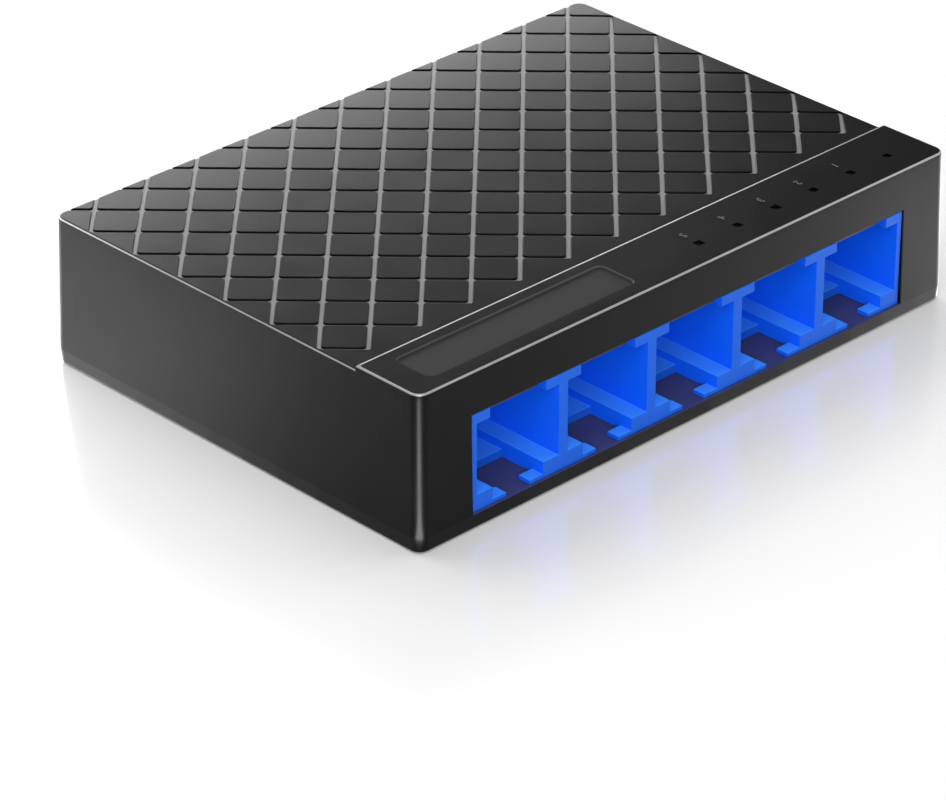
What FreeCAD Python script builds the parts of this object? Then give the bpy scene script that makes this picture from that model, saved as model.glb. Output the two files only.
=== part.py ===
import FreeCAD, Part
import math
import os

# A five-port desktop network switch, in millimetres. The ports face -Y, +X runs along the port
# face, and +Z is up. The origin is the centre of the footprint, on the plane that the rubber feet
# stand on.

Vector = FreeCAD.Vector
UP = Vector(0, 0, 1)
ALONG_X = Vector(1, 0, 0)

# --- case ---------------------------------------------------------------------------------------
TOP_WIDTH = 85.3            # outline at the top of the walls
TOP_DEPTH = 60.6
WALL_LEAN = 0.38            # each wall stands this much further out at its foot
CORNER_RADIUS = 1.4
EDGE_RADIUS = 0.3
FOOT_PROUD = 0.2            # the feet stand this far below the bottom cover
PARTING_Z = 2.0             # plane where the two covers meet
STRIP_Z = 19.6              # top of the raised strip along the port side
STRIP_STEP = 0.57           # the patterned roof lies this much lower
STRIP_DEPTH = 9.84
PATTERN_Z = STRIP_Z - STRIP_STEP
CEILING_Z = 17.4            # underside of the roof
WALL = 1.6
HALF_X = TOP_WIDTH / 2
HALF_Y = TOP_DEPTH / 2
INNER_X = HALF_X - WALL
INNER_Y = HALF_Y - WALL
FRONT = -HALF_Y
BASE_BEVEL = 0.1            # the bottom cover narrows this much towards the floor
BASE_EDGE_RADIUS = 0.25     # and its lowest edge is rounded off

# --- diamond pattern on the roof ----------------------------------------------------------------
CELL = 3.84                 # half of a diamond's diagonal
GROOVE_WIDTH = 0.5
GROOVE_DEPTH = 0.26
PATTERN_COLUMNS = 22        # half-diagonals from the left edge to the right edge
PATTERN_GAP = 2.55          # from the strip's rear edge to the first row of points

# --- indicator holes and name plate recess on the strip ------------------------------------------
INDICATOR_COUNT = 6
INDICATOR_PITCH = 6.4
FIRST_INDICATOR_X = 4.62
INDICATOR_Y = FRONT + 3.9
INDICATOR_HOLE = 1.0
PLATE_X = (-38.7, -7.2)
PLATE_Y = (FRONT + 2.3, FRONT + 7.9)
PLATE_SINK = 0.15
PLATE_CORNER = 0.8

# --- port housing -------------------------------------------------------------------------------
PORT_COUNT = 5
PORT_PITCH = 13.97
PORT_BLOCK_X = 0.235        # centre of the port block
PORT_BLOCK_WIDTH = PORT_COUNT * PORT_PITCH
PORT_FLOOR_Z = 2.05
PORT_TOP_Z = 14.15
PORT_DEPTH = 16.0
PORT_DIVIDER = 1.37
CAVITY_WIDTH = PORT_PITCH - PORT_DIVIDER
CAVITY_DEPTH = 12.0
CAVITY_TOP_Z = 12.95
SHELF_Z = 4.05              # the plug's body slides on the shelves
SHELF_WIDTH = 2.4
CHANNEL_WIDTH = CAVITY_WIDTH - 2 * SHELF_WIDTH
LIP_Z = 2.55                # the plug's latch catches behind the two lips
LIP_DEPTH = 1.75
LIP_SLOT = 3.6
CHANNEL_FLOOR_Z = 3.05
CHANNEL_FLOOR_START = 6.5
STUB_LENGTH = 2.0           # arms of the T at the top of each divider
STUB_DEPTH = 1.4
OPENING_GAP = 0.15          # between the port housing and the case
PEG_PORTS = (0, 2, 4)       # ports with a peg behind them, which goes up through the board
PEG_Y = FRONT + 14.9
PEG_RADIUS = 0.8
PEG_Z = (13.0, 16.6)

# --- spring contacts ----------------------------------------------------------------------------
CONTACT_COUNT = 8
CONTACT_PITCH = 1.02
WIRE_WIDTH = 0.35
WIRE_THICK = 0.3
CARRIER_WIDTH = 11.2
CARRIER_START = 1.5         # all three are distances behind the port face
CARRIER_END = 13.5
PIN_ROWS = (6.35, 8.89)
RUN_Z = 13.1                # underside of a wire's fixed run
BEND_Y = 3.0                # centre of the bend, behind the port face
BEND_RADIUS = 0.35          # inside the bend
ARM_ANGLE = 15.0
ARM_LENGTH = 7.6
BEND_GAP = 0.06             # the arm's root turns clear of the bend

# --- circuit board ------------------------------------------------------------------------------
BOARD_THICK = 1.6
BOARD_Z = 14.17             # underside, which carries most of the components
BOARD_TOP_Z = BOARD_Z + BOARD_THICK
BOARD_HALF_X = 40.7
BOARD_HALF_Y = 28.35
BOARD_NOTCH = 6.6           # at the two rear corners, around the case screws' posts
PIN_END_Z = 16.7
TRANSFORMER_SIZE = (12.7, 7.4, 5.4)
TRANSFORMER_Y = -8.2
TRANSFORMER_LEADS = 8
LEAD_PITCH = 1.27
CHIP_AT = (-6.0, 8.5)
CHIP_SIZE = 14.0
CHIP_HEIGHT = 1.4
CHIP_LEADS = 16
CHIP_LEAD_PITCH = 0.8
CRYSTAL_AT = (9.0, 5.0)
INPUT_CAPACITOR_AT = (25.5, 16.5)
OUTPUT_CAPACITOR_AT = (31.8, 20.5)
INDUCTOR_AT = (17.5, 15.5)
REGULATOR_AT = (25.5, 9.5)
DIODE_AT = (26.0, 2.0)
RESISTOR_SIZE = (1.0, 0.5, 0.4)
CHIP_CAPACITOR_SIZE = (1.6, 0.8, 0.8)

# --- fasteners and feet -------------------------------------------------------------------------
CASE_SCREW_AT = ((-38.0, 26.0), (38.0, 26.0))
CASE_SCREW_RADIUS = 1.15
CASE_SCREW_LENGTH = 8.0
CASE_HEAD_RADIUS = 2.1
CASE_HEAD_HEIGHT = 1.5
CASE_POST_RADIUS = 2.7
CASE_SEAT_Z = 2.3
CASE_POST_Z = 4.05
CASE_SEAT_RADIUS = 3.4
COUNTERBORE_RADIUS = 2.4
BOARD_SCREW_AT = ((-37.6, -11.0), (37.6, -11.0), (-37.6, 16.0), (37.6, 16.0))
BOARD_SCREW_RADIUS = 1.0
BOARD_SCREW_LENGTH = 4.0
BOARD_HEAD_RADIUS = 1.9
BOARD_HEAD_HEIGHT = 1.3
BOARD_POST_RADIUS = 2.3
SCREW_CLEARANCE = 0.05
FOOT_AT = ((-31.0, -22.0), (31.0, -22.0), (-31.0, 22.0), (31.0, 22.0))
FOOT_RADIUS = 4.0
FOOT_THICK = 1.0
HOOK_X = 38.4               # the bottom cover's two front hooks
HOOK_HALF_WIDTH = 2.0
HOOK_TOP_Z = 7.4
HOOK_POCKET_Z = (4.7, 7.0)
VENT_COLUMNS = 9
VENT_PITCH = 3.2
VENT_ROWS = (-9.0, 14.0)
VENT_LENGTH = 8.0
VENT_WIDTH = 1.4
LABEL_HALF_X = 22.0         # the label's recess under the case
LABEL_Y = (-4.6, 9.6)
LABEL_RECESS = 0.15

# --- power socket -------------------------------------------------------------------------------
SOCKET_Y = 2.5
SOCKET_Z = 10.8
SOCKET_BACK_X = 31.6
SOCKET_MOUTH_X = 42.4
SOCKET_BODY_HALF_Y = 3.5
SOCKET_BODY_BOTTOM_Z = 7.5
SOCKET_NOSE_RADIUS = 3.0
SOCKET_BORE_RADIUS = 1.85
SOCKET_BORE_START_X = 33.2
SOCKET_PIN_RADIUS = 0.65
SOCKET_PIN_ROOT = 1.6       # side of the pin's square root, in the housing
SOCKET_PIN_END_X = 41.2
STRAP_X = 31.1              # the sleeve's strap stands just behind the housing
LEAF_X = (33.9, 39.6)
LEAF_Z = 8.35
LEAF_CREST_Z = 9.2          # this far into the bore, where a plug's sleeve presses it down
LEAF_HALF_WIDTH = 1.0
LEAF_THICK = 0.25


def box(x, y, z):
    """A box between the two values given along each axis."""
    return Part.makeBox(x[1] - x[0], y[1] - y[0], z[1] - z[0], Vector(x[0], y[0], z[0]))


def centred_box(centre, width, depth, z):
    x, y = centre
    return box((x - width / 2, x + width / 2), (y - depth / 2, y + depth / 2), z)


def upright_edges(shape):
    return [edge for edge in shape.Edges if edge.BoundBox.ZLength > 0.5 * shape.BoundBox.ZLength]


def edges_at(shape, z):
    """The edges that lie wholly in the plane at height z."""
    return [e for e in shape.Edges if abs(e.BoundBox.ZMin - z) < 1e-4 and abs(e.BoundBox.ZMax - z) < 1e-4]


def rounded_box(x, y, z, radius):
    block = box(x, y, z)
    return block.makeFillet(radius, upright_edges(block))


def lean_at(z):
    """How far the case's wall stands outside its top outline at height z."""
    return WALL_LEAN * (STRIP_Z - z) / (STRIP_Z - PARTING_Z)


def leaning_block(y_rear, z_low, z_high):
    """The case's outline from its front wall to y_rear, with every outer wall leaning."""
    low, high = lean_at(z_low), lean_at(z_high)
    rear_lean = (low, high) if y_rear == HALF_Y else (0.0, 0.0)
    wedge = Part.makeWedge(
        -HALF_X - low, z_low, -y_rear - rear_lean[0], -y_rear - rear_lean[1], -HALF_X - high,
        HALF_X + low, z_high, HALF_Y + low, HALF_Y + high, HALF_X + high)
    wedge.rotate(Vector(0, 0, 0), ALONG_X, 90)
    return wedge


def prism_x(points, x_low, x_high):
    """A solid with the outline points, given as (y, z), from x_low to x_high."""
    corners = [Vector(x_low, y, z) for y, z in points]
    outline = Part.makePolygon(corners + corners[:1])
    return Part.Face(outline).extrude(Vector(x_high - x_low, 0, 0))


def port_centre(index):
    return PORT_BLOCK_X + (index - (PORT_COUNT - 1) / 2) * PORT_PITCH


def indicator_x(index):
    return FIRST_INDICATOR_X + index * INDICATOR_PITCH


def cut_all(shape, tools):
    return shape.cut(Part.makeCompound(tools))


# --- case ---------------------------------------------------------------------------------------
def roof_grooves():
    """Crossed diagonal grooves, which start at the strip and run off the roof's other edges."""
    first_y = FRONT + STRIP_DEPTH + PATTERN_GAP
    left_x = -CELL * PATTERN_COLUMNS / 2
    length = 2 * TOP_WIDTH
    area = box((left_x, -left_x), (first_y - GROOVE_WIDTH / 2, HALF_Y + 1),
               (PATTERN_Z - GROOVE_DEPTH, STRIP_Z))
    bars = []
    for step in range(-2 * PATTERN_COLUMNS, 2 * PATTERN_COLUMNS):
        for turn in (45, -45):
            bar = Part.makeBox(length, GROOVE_WIDTH, STRIP_Z, Vector(-length / 2, -GROOVE_WIDTH / 2, 0))
            bar.rotate(Vector(0, 0, 0), UP, turn)
            bar.translate(Vector(left_x + CELL + 2 * CELL * step, first_y, 0))
            if bar.common(area).Volume > 0:
                bars.append(bar.common(area))
    return bars


def top_outline():
    roof = leaning_block(HALF_Y, PARTING_Z, PATTERN_Z)
    roof = roof.makeFillet(CORNER_RADIUS, upright_edges(roof))
    roof = roof.makeFillet(EDGE_RADIUS, edges_at(roof, PATTERN_Z))
    strip = leaning_block(FRONT + STRIP_DEPTH, PARTING_Z, STRIP_Z)
    front_corners = [e for e in upright_edges(strip) if e.BoundBox.YMax < FRONT + 1]
    strip = strip.makeFillet(CORNER_RADIUS, front_corners)
    strip = strip.makeFillet(EDGE_RADIUS, edges_at(strip, STRIP_Z))
    return roof.fuse(strip).removeSplitter()


def cover_posts():
    """Posts that hang from the ceiling: two for the case screws and four for the board."""
    posts = []
    for x, y in CASE_SCREW_AT:
        posts.append(Part.makeCylinder(CASE_POST_RADIUS, CEILING_Z - CASE_POST_Z, Vector(x, y, CASE_POST_Z)))
    for x, y in BOARD_SCREW_AT:
        height = CEILING_Z - BOARD_TOP_Z
        posts.append(Part.makeCylinder(BOARD_POST_RADIUS, height, Vector(x, y, BOARD_TOP_Z)))
    return posts


def screw_bores():
    bores = []
    for x, y in CASE_SCREW_AT:
        depth = CASE_SCREW_LENGTH + 1.0
        radius = CASE_SCREW_RADIUS + SCREW_CLEARANCE
        bores.append(Part.makeCylinder(radius, depth, Vector(x, y, CASE_SEAT_Z)))
    for x, y in BOARD_SCREW_AT:
        depth = BOARD_SCREW_LENGTH + 0.2
        radius = BOARD_SCREW_RADIUS + SCREW_CLEARANCE
        bores.append(Part.makeCylinder(radius, depth, Vector(x, y, BOARD_Z)))
    return bores


def hook_pocket(side):
    width = 2 * (HOOK_HALF_WIDTH + 0.3)
    return centred_box((side * HOOK_X, -INNER_Y - 0.35), width, 0.9, HOOK_POCKET_Z)


def top_cover():
    cover = top_outline()
    cover = cover.cut(box((-INNER_X, INNER_X), (-INNER_Y, INNER_Y), (0, CEILING_Z)))
    cover = cover.fuse(cover_posts())
    low_x = PORT_BLOCK_X - PORT_BLOCK_WIDTH / 2 - OPENING_GAP
    high_x = PORT_BLOCK_X + PORT_BLOCK_WIDTH / 2 + OPENING_GAP
    tools = [box((low_x, high_x), (FRONT - 2, -INNER_Y + 0.1), (0, PORT_TOP_Z + OPENING_GAP))]
    for index in range(INDICATOR_COUNT):
        centre = (indicator_x(index), INDICATOR_Y)
        tools.append(centred_box(centre, INDICATOR_HOLE, INDICATOR_HOLE, (CEILING_Z - 1, STRIP_Z + 1)))
    tools.append(rounded_box(PLATE_X, PLATE_Y, (STRIP_Z - PLATE_SINK, STRIP_Z + 1), PLATE_CORNER))
    tools += screw_bores()
    tools += [hook_pocket(-1), hook_pocket(1)]
    tools.append(Part.makeCylinder(SOCKET_NOSE_RADIUS + OPENING_GAP, 5.0,
                                   Vector(INNER_X - 1, SOCKET_Y, SOCKET_Z), ALONG_X))
    tools += roof_grooves()
    return cut_all(cover, tools).removeSplitter()


def bottom_plate():
    """The flat cover, whose sides lean in a little towards the floor, with a rounded lowest edge."""
    x = HALF_X + lean_at(PARTING_Z)
    y = HALF_Y + lean_at(PARTING_Z)
    wedge = Part.makeWedge(-x + BASE_BEVEL, FOOT_PROUD, -y + BASE_BEVEL, -y, -x,
                           x - BASE_BEVEL, PARTING_Z, y - BASE_BEVEL, y, x)
    wedge.rotate(Vector(0, 0, 0), ALONG_X, 90)
    plate = wedge.makeFillet(CORNER_RADIUS, upright_edges(wedge))
    return plate.makeFillet(BASE_EDGE_RADIUS, edges_at(plate, FOOT_PROUD))


def locating_rim():
    """Low walls that sit inside the top cover along the sides and the rear."""
    rim_z = (PARTING_Z - 0.1, 3.6)
    outer_x, outer_y, thick = INNER_X - 0.15, INNER_Y - 0.15, 1.2
    sides = [box(sorted((s * outer_x, s * (outer_x - thick))), (-25.0, 21.5), rim_z) for s in (-1, 1)]
    return sides + [box((-33.0, 33.0), (outer_y - thick, outer_y), rim_z)]


def front_hook(side):
    """An upright tab with a nose that snaps into a pocket in the front wall."""
    rear, front = -INNER_Y + 1.35, -INNER_Y + 0.15
    nose = front - 0.7
    foot_z = PARTING_Z - 0.1
    outline = [(rear, foot_z), (rear, HOOK_TOP_Z), (front + 0.5, HOOK_TOP_Z), (nose, 6.1), (nose, 5.5),
               (front, 4.9), (front, foot_z)]
    return prism_x(outline, side * HOOK_X - HOOK_HALF_WIDTH, side * HOOK_X + HOOK_HALF_WIDTH)


def screw_seats():
    """Short posts that the case screws' heads pull up against the top cover's posts."""
    room = box((-INNER_X + 0.15, INNER_X - 0.15), (-INNER_Y, INNER_Y - 0.15), (0, CASE_POST_Z))
    height = CASE_POST_Z - 0.05 - 1.0
    posts = [Part.makeCylinder(CASE_SEAT_RADIUS, height, Vector(x, y, 1.0)) for x, y in CASE_SCREW_AT]
    return [post.common(room) for post in posts]


def vent_slots():
    slots = []
    half_width, half_length = VENT_WIDTH / 2, VENT_LENGTH / 2
    for column in range(VENT_COLUMNS):
        x = VENT_PITCH * (column - (VENT_COLUMNS - 1) / 2)
        for y in VENT_ROWS:
            slots.append(rounded_box((x - half_width, x + half_width), (y - half_length, y + half_length),
                                     (0, PARTING_Z + 1), half_width - 0.01))
    return slots


def bottom_cover():
    cover = bottom_plate()
    cover = cover.fuse(locating_rim() + [front_hook(-1), front_hook(1)] + screw_seats())
    tools = vent_slots()
    for x, y in CASE_SCREW_AT:
        tools.append(Part.makeCylinder(COUNTERBORE_RADIUS, CASE_SEAT_Z, Vector(x, y, 0)))
        tools.append(Part.makeCylinder(CASE_SCREW_RADIUS + 0.2, 5.0, Vector(x, y, 0)))
    for x, y in FOOT_AT:
        tools.append(Part.makeCylinder(FOOT_RADIUS + 0.2, FOOT_THICK, Vector(x, y, 0)))
    tools.append(rounded_box((-LABEL_HALF_X, LABEL_HALF_X), LABEL_Y, (0, FOOT_PROUD + LABEL_RECESS), 1.0))
    return cut_all(cover, tools).removeSplitter()


# --- port housing and its contacts --------------------------------------------------------------
def port_cavity(index):
    """What is taken out of the housing for one port, as a list of solids."""
    x = port_centre(index)
    half, half_channel = CAVITY_WIDTH / 2, CHANNEL_WIDTH / 2
    open_front = FRONT - 1
    rear = FRONT + CAVITY_DEPTH
    floor_start = FRONT + CHANNEL_FLOOR_START
    lip_end = FRONT + LIP_DEPTH
    slot = half - STUB_LENGTH
    window = CARRIER_WIDTH / 2 + 0.05
    below = PORT_FLOOR_Z - 1
    above = PORT_TOP_Z + 1
    return [
        box((x - half, x + half), (open_front, rear), (SHELF_Z, CAVITY_TOP_Z)),
        box((x - half_channel, x + half_channel), (lip_end, floor_start), (below, SHELF_Z)),
        box((x - half_channel, x + half_channel), (open_front, lip_end + 0.1), (LIP_Z, SHELF_Z)),
        box((x - LIP_SLOT / 2, x + LIP_SLOT / 2), (open_front, lip_end + 0.1), (below, SHELF_Z)),
        box((x - half_channel, x + half_channel), (floor_start - 0.1, rear), (CHANNEL_FLOOR_Z, SHELF_Z)),
        box((x - slot, x + slot), (open_front, FRONT + STUB_DEPTH), (CAVITY_TOP_Z - 0.1, above)),
        box((x - window, x + window), (FRONT + STUB_DEPTH, FRONT + CARRIER_END + 0.05),
            (CAVITY_TOP_Z - 0.1, above)),
    ]


def housing_pegs():
    """Pegs that go up through the circuit board."""
    height = PEG_Z[1] - PEG_Z[0]
    return [Part.makeCylinder(PEG_RADIUS, height, Vector(port_centre(port), PEG_Y, PEG_Z[0]))
            for port in PEG_PORTS]


def port_housing():
    x = (PORT_BLOCK_X - PORT_BLOCK_WIDTH / 2, PORT_BLOCK_X + PORT_BLOCK_WIDTH / 2)
    block = box(x, (FRONT, FRONT + PORT_DEPTH), (PORT_FLOOR_Z, PORT_TOP_Z))
    block = block.fuse(housing_pegs())
    tools = []
    for index in range(PORT_COUNT):
        tools += port_cavity(index)
    return cut_all(block, tools).removeSplitter()


def wire_x(port, wire):
    return port_centre(port) + (wire - (CONTACT_COUNT - 1) / 2) * CONTACT_PITCH


def pin_y(wire):
    return FRONT + PIN_ROWS[wire % 2]


def contact_carrier(port):
    """The plate over a port's cavity, with a groove and a pin hole for each wire."""
    x = port_centre(port)
    plate = box((x - CARRIER_WIDTH / 2, x + CARRIER_WIDTH / 2),
                (FRONT + CARRIER_START, FRONT + CARRIER_END), (CAVITY_TOP_Z, PORT_TOP_Z - 0.02))
    tools = []
    for wire in range(CONTACT_COUNT):
        half = WIRE_WIDTH / 2 + 0.05
        span = (wire_x(port, wire) - half, wire_x(port, wire) + half)
        groove_top = RUN_Z + WIRE_THICK + 0.05
        tools.append(box(span, (FRONT + BEND_Y - 1.0, pin_y(wire) + 0.3), (CAVITY_TOP_Z - 1, groove_top)))
        tools.append(box(span, (pin_y(wire) - 0.25, pin_y(wire) + 0.25), (CAVITY_TOP_Z, PORT_TOP_Z + 1)))
    return cut_all(plate, tools)


def hinge_point():
    """The line that a contact's arm flexes about, as (y, z): the lower end of the wire's bend."""
    middle = BEND_RADIUS + WIRE_THICK / 2
    centre_z = RUN_Z - BEND_RADIUS
    turn = math.radians(ARM_ANGLE)
    return (FRONT + BEND_Y - middle * math.sin(turn), centre_z - middle * math.cos(turn))


def contact_tail(port, wire):
    """The fixed part of one wire: its pin, its run along the carrier and the bend at the front."""
    x = wire_x(port, wire) - WIRE_WIDTH / 2
    top = RUN_Z + WIRE_THICK
    y = pin_y(wire)
    centre_y, centre_z = FRONT + BEND_Y, RUN_Z - BEND_RADIUS
    pin = box((x, x + WIRE_WIDTH), (y - 0.2, y + 0.2), (RUN_Z, PIN_END_Z))
    run = box((x, x + WIRE_WIDTH), (centre_y, y), (RUN_Z, top))
    outer = Part.makeCylinder(BEND_RADIUS + WIRE_THICK, WIRE_WIDTH, Vector(x, centre_y, centre_z), ALONG_X)
    inner = Part.makeCylinder(BEND_RADIUS, WIRE_WIDTH, Vector(x, centre_y, centre_z), ALONG_X)
    hinge_y, hinge_z = hinge_point()
    stop = WIRE_THICK / 2 + BEND_GAP
    reach = 3.0
    arm_room = box((x - 1, x + 2), (hinge_y - stop, hinge_y + reach), (hinge_z - reach, hinge_z + 0.5))
    arm_room.rotate(Vector(x, hinge_y, hinge_z), ALONG_X, -ARM_ANGLE)
    behind = box((x - 1, x + 2), (centre_y, centre_y + reach), (centre_z - reach, RUN_Z + 1))
    bend = outer.cut(inner).cut(behind).cut(arm_room)
    return pin.fuse([run, bend]).removeSplitter()


def contact_arm(port, wire):
    """The springing part of one wire, which a plug pushes up. Its free end turns up a little."""
    x = wire_x(port, wire) - WIRE_WIDTH / 2
    half = WIRE_THICK / 2
    y, z = hinge_point()
    strip = box((x, x + WIRE_WIDTH), (y, y + ARM_LENGTH), (z - half, z + half))
    root = Part.makeCylinder(half, WIRE_WIDTH, Vector(x, y, z), ALONG_X)
    tip = box((x, x + WIRE_WIDTH), (y + ARM_LENGTH - half, y + ARM_LENGTH + 1.0), (z - half, z + half))
    tip.rotate(Vector(x, y + ARM_LENGTH, z), ALONG_X, 35)
    arm = strip.fuse([root, tip]).removeSplitter()
    arm.rotate(Vector(x, y, z), ALONG_X, -ARM_ANGLE)
    return arm


def contact_group(make, port):
    return Part.makeCompound([make(port, wire) for wire in range(CONTACT_COUNT)])


# --- circuit board and its components -----------------------------------------------------------
def circuit_board():
    board = box((-BOARD_HALF_X, BOARD_HALF_X), (-BOARD_HALF_Y, BOARD_HALF_Y), (BOARD_Z, BOARD_TOP_Z))
    tools = []
    for side in (-1, 1):
        corner = (side * BOARD_HALF_X, BOARD_HALF_Y)
        tools.append(centred_box(corner, 2 * BOARD_NOTCH, 2 * BOARD_NOTCH, (0, 30)))
    for x, y in BOARD_SCREW_AT:
        tools.append(Part.makeCylinder(BOARD_SCREW_RADIUS + 0.2, 30, Vector(x, y, 0)))
    for port in PEG_PORTS:
        tools.append(Part.makeCylinder(PEG_RADIUS + OPENING_GAP, 30, Vector(port_centre(port), PEG_Y, 0)))
    for port in range(PORT_COUNT):
        for wire in range(CONTACT_COUNT):
            tools.append(centred_box((wire_x(port, wire), pin_y(wire)), 0.6, 0.6, (0, 30)))
    tools.append(box((STRAP_X - 0.3, STRAP_X + 0.55), (SOCKET_Y - 1.3, SOCKET_Y + 1.3), (0, 30)))
    tools.append(box((SOCKET_BACK_X + 0.2, SOCKET_BACK_X + 1.0), (SOCKET_Y - 1.1, SOCKET_Y + 1.1), (0, 30)))
    return cut_all(board, tools)


def under_board(centre, width, depth, height, gap=0.1):
    """A body hung under the board with a small gap for its solder."""
    return centred_box(centre, width, depth, (BOARD_Z - gap - height, BOARD_Z - gap))


def port_transformer(port):
    width, depth, height = TRANSFORMER_SIZE
    body = under_board((port_centre(port), TRANSFORMER_Y), width, depth, height, gap=0.2)
    return body.makeChamfer(0.25, edges_at(body, BOARD_Z - 0.2 - height))


def gull_lead(inner, z_body, width):
    """One bent lead towards +Y: (0, z_body) is where it leaves the body, and its foot is on the board."""
    foot_low = BOARD_Z - 0.2
    outline = [(inner, z_body), (inner + 0.6, z_body), (inner + 0.8, foot_low), (inner + 1.5, foot_low),
               (inner + 1.5, BOARD_Z - 0.01), (inner + 0.6, BOARD_Z - 0.01), (inner + 0.4, z_body + 0.2),
               (inner, z_body + 0.2)]
    return prism_x(outline, -width / 2, width / 2)


def transformer_leads():
    leads = []
    _, depth, _ = TRANSFORMER_SIZE
    for port in range(PORT_COUNT):
        for number in range(TRANSFORMER_LEADS):
            offset = (number - (TRANSFORMER_LEADS - 1) / 2) * LEAD_PITCH
            for side in (0, 180):
                lead = gull_lead(depth / 2 + 0.01, BOARD_Z - 2.2, 0.45)
                lead.rotate(Vector(0, 0, 0), UP, side)
                lead.translate(Vector(port_centre(port) + offset, TRANSFORMER_Y, 0))
                leads.append(lead)
    return Part.makeCompound(leads)


def switch_chip():
    body = under_board(CHIP_AT, CHIP_SIZE, CHIP_SIZE, CHIP_HEIGHT)
    return body.makeChamfer(0.2, edges_at(body, BOARD_Z - 0.1 - CHIP_HEIGHT))


def chip_leads():
    leads = []
    for side in range(4):
        for number in range(CHIP_LEADS):
            offset = (number - (CHIP_LEADS - 1) / 2) * CHIP_LEAD_PITCH
            lead = gull_lead(CHIP_SIZE / 2 + 0.01, BOARD_Z - 0.9, 0.35)
            lead.translate(Vector(offset, 0, 0))
            lead.rotate(Vector(0, 0, 0), UP, 90 * side)
            lead.translate(Vector(CHIP_AT[0], CHIP_AT[1], 0))
            leads.append(lead)
    return Part.makeCompound(leads)


def crystal():
    x, y = CRYSTAL_AT
    half_length, half_width = 5.5, 2.3
    can = rounded_box((x - half_length, x + half_length), (y - half_width, y + half_width),
                      (BOARD_Z - 3.6, BOARD_Z - 0.1), half_width - 0.01)
    return can.makeFillet(0.4, edges_at(can, BOARD_Z - 3.6))


def electrolytic_capacitor(at):
    base = under_board(at, 5.3, 5.3, 0.6)
    can = Part.makeCylinder(2.5, 5.4, Vector(at[0], at[1], BOARD_Z - 0.7 - 5.4))
    can = can.makeFillet(0.4, edges_at(can, BOARD_Z - 0.7 - 5.4))
    return base.fuse(can)


def power_inductor():
    body = under_board(INDUCTOR_AT, 5.2, 5.2, 3.0)
    return body.makeChamfer(1.0, upright_edges(body))


def regulator():
    return under_board(REGULATOR_AT, 3.9, 4.9, 1.5)


def input_diode():
    return under_board(DIODE_AT, 2.7, 4.4, 2.1)


def chip_row(origin, step, count, size):
    width, depth, height = size
    boxes = []
    for number in range(count):
        centre = (origin[0] + number * step[0], origin[1] + number * step[1])
        boxes.append(under_board(centre, width, depth, height, gap=0.02))
    return boxes


def chip_resistors():
    rows = chip_row((-18.0, 19.5), (2.0, 0), 8, RESISTOR_SIZE)
    return Part.makeCompound(rows + chip_row((-31.0, 0.5), (0, 1.6), 10, RESISTOR_SIZE))


def chip_capacitors():
    rows = chip_row((-18.0, 22.0), (2.4, 0), 7, CHIP_CAPACITOR_SIZE)
    return Part.makeCompound(rows + chip_row((-27.0, 0.5), (0, 2.2), 7, CHIP_CAPACITOR_SIZE))


def indicator_led(index):
    centre = (indicator_x(index), INDICATOR_Y)
    base = centred_box(centre, 0.8, 1.6, (BOARD_TOP_Z + 0.02, BOARD_TOP_Z + 0.32))
    lens = centred_box(centre, 0.8, 1.1, (BOARD_TOP_Z + 0.32, BOARD_TOP_Z + 0.62))
    return base.fuse(lens)


def light_guide():
    """One clear bar under the roof, with a post in each indicator hole."""
    low = BOARD_TOP_Z + 0.7
    first, last = indicator_x(0), indicator_x(INDICATOR_COUNT - 1)
    bar = box((first - 2.0, last + 2.0), (INDICATOR_Y - 1.4, INDICATOR_Y + 1.0), (low, CEILING_Z - 0.02))
    side = INDICATOR_HOLE - 0.12
    posts = [centred_box((indicator_x(i), INDICATOR_Y), side, side, (low, STRIP_Z - 0.35))
             for i in range(INDICATOR_COUNT)]
    return bar.fuse(posts).removeSplitter()


# --- power socket -------------------------------------------------------------------------------
def socket_pin_root(start, side):
    """A square bar on the socket's axis, from start to where the bore begins."""
    half = side / 2
    return box((start, SOCKET_BORE_START_X), (SOCKET_Y - half, SOCKET_Y + half),
               (SOCKET_Z - half, SOCKET_Z + half))


def power_socket_housing():
    y = (SOCKET_Y - SOCKET_BODY_HALF_Y, SOCKET_Y + SOCKET_BODY_HALF_Y)
    body = box((SOCKET_BACK_X, INNER_X - 0.05), y, (SOCKET_BODY_BOTTOM_Z, BOARD_Z - 0.02))
    nose = Part.makeCylinder(SOCKET_NOSE_RADIUS, SOCKET_MOUTH_X - INNER_X + 1.0,
                             Vector(INNER_X - 1.0, SOCKET_Y, SOCKET_Z), ALONG_X)
    bore = Part.makeCylinder(SOCKET_BORE_RADIUS, 20,
                             Vector(SOCKET_BORE_START_X, SOCKET_Y, SOCKET_Z), ALONG_X)
    pin_hole = socket_pin_root(SOCKET_BACK_X - 0.5, SOCKET_PIN_ROOT + 0.1)
    half = LEAF_HALF_WIDTH + 0.3
    leaf_slot = box((SOCKET_BACK_X - 1, LEAF_X[1] + 0.6), (SOCKET_Y - half, SOCKET_Y + half),
                    (SOCKET_BODY_BOTTOM_Z - 1, LEAF_Z + 0.2))
    leaf_window = box((LEAF_X[0] - 0.4, LEAF_X[1] + 0.6), (SOCKET_Y - half, SOCKET_Y + half),
                      (LEAF_Z, SOCKET_Z))
    tail_slot = box((SOCKET_BACK_X - 1, SOCKET_BACK_X + 1.0), (SOCKET_Y - 1.1, SOCKET_Y + 1.1),
                    (SOCKET_Z - 1.1, BOARD_Z + 1))
    return cut_all(body.fuse(nose), [bore, pin_hole, leaf_slot, leaf_window, tail_slot])


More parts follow.
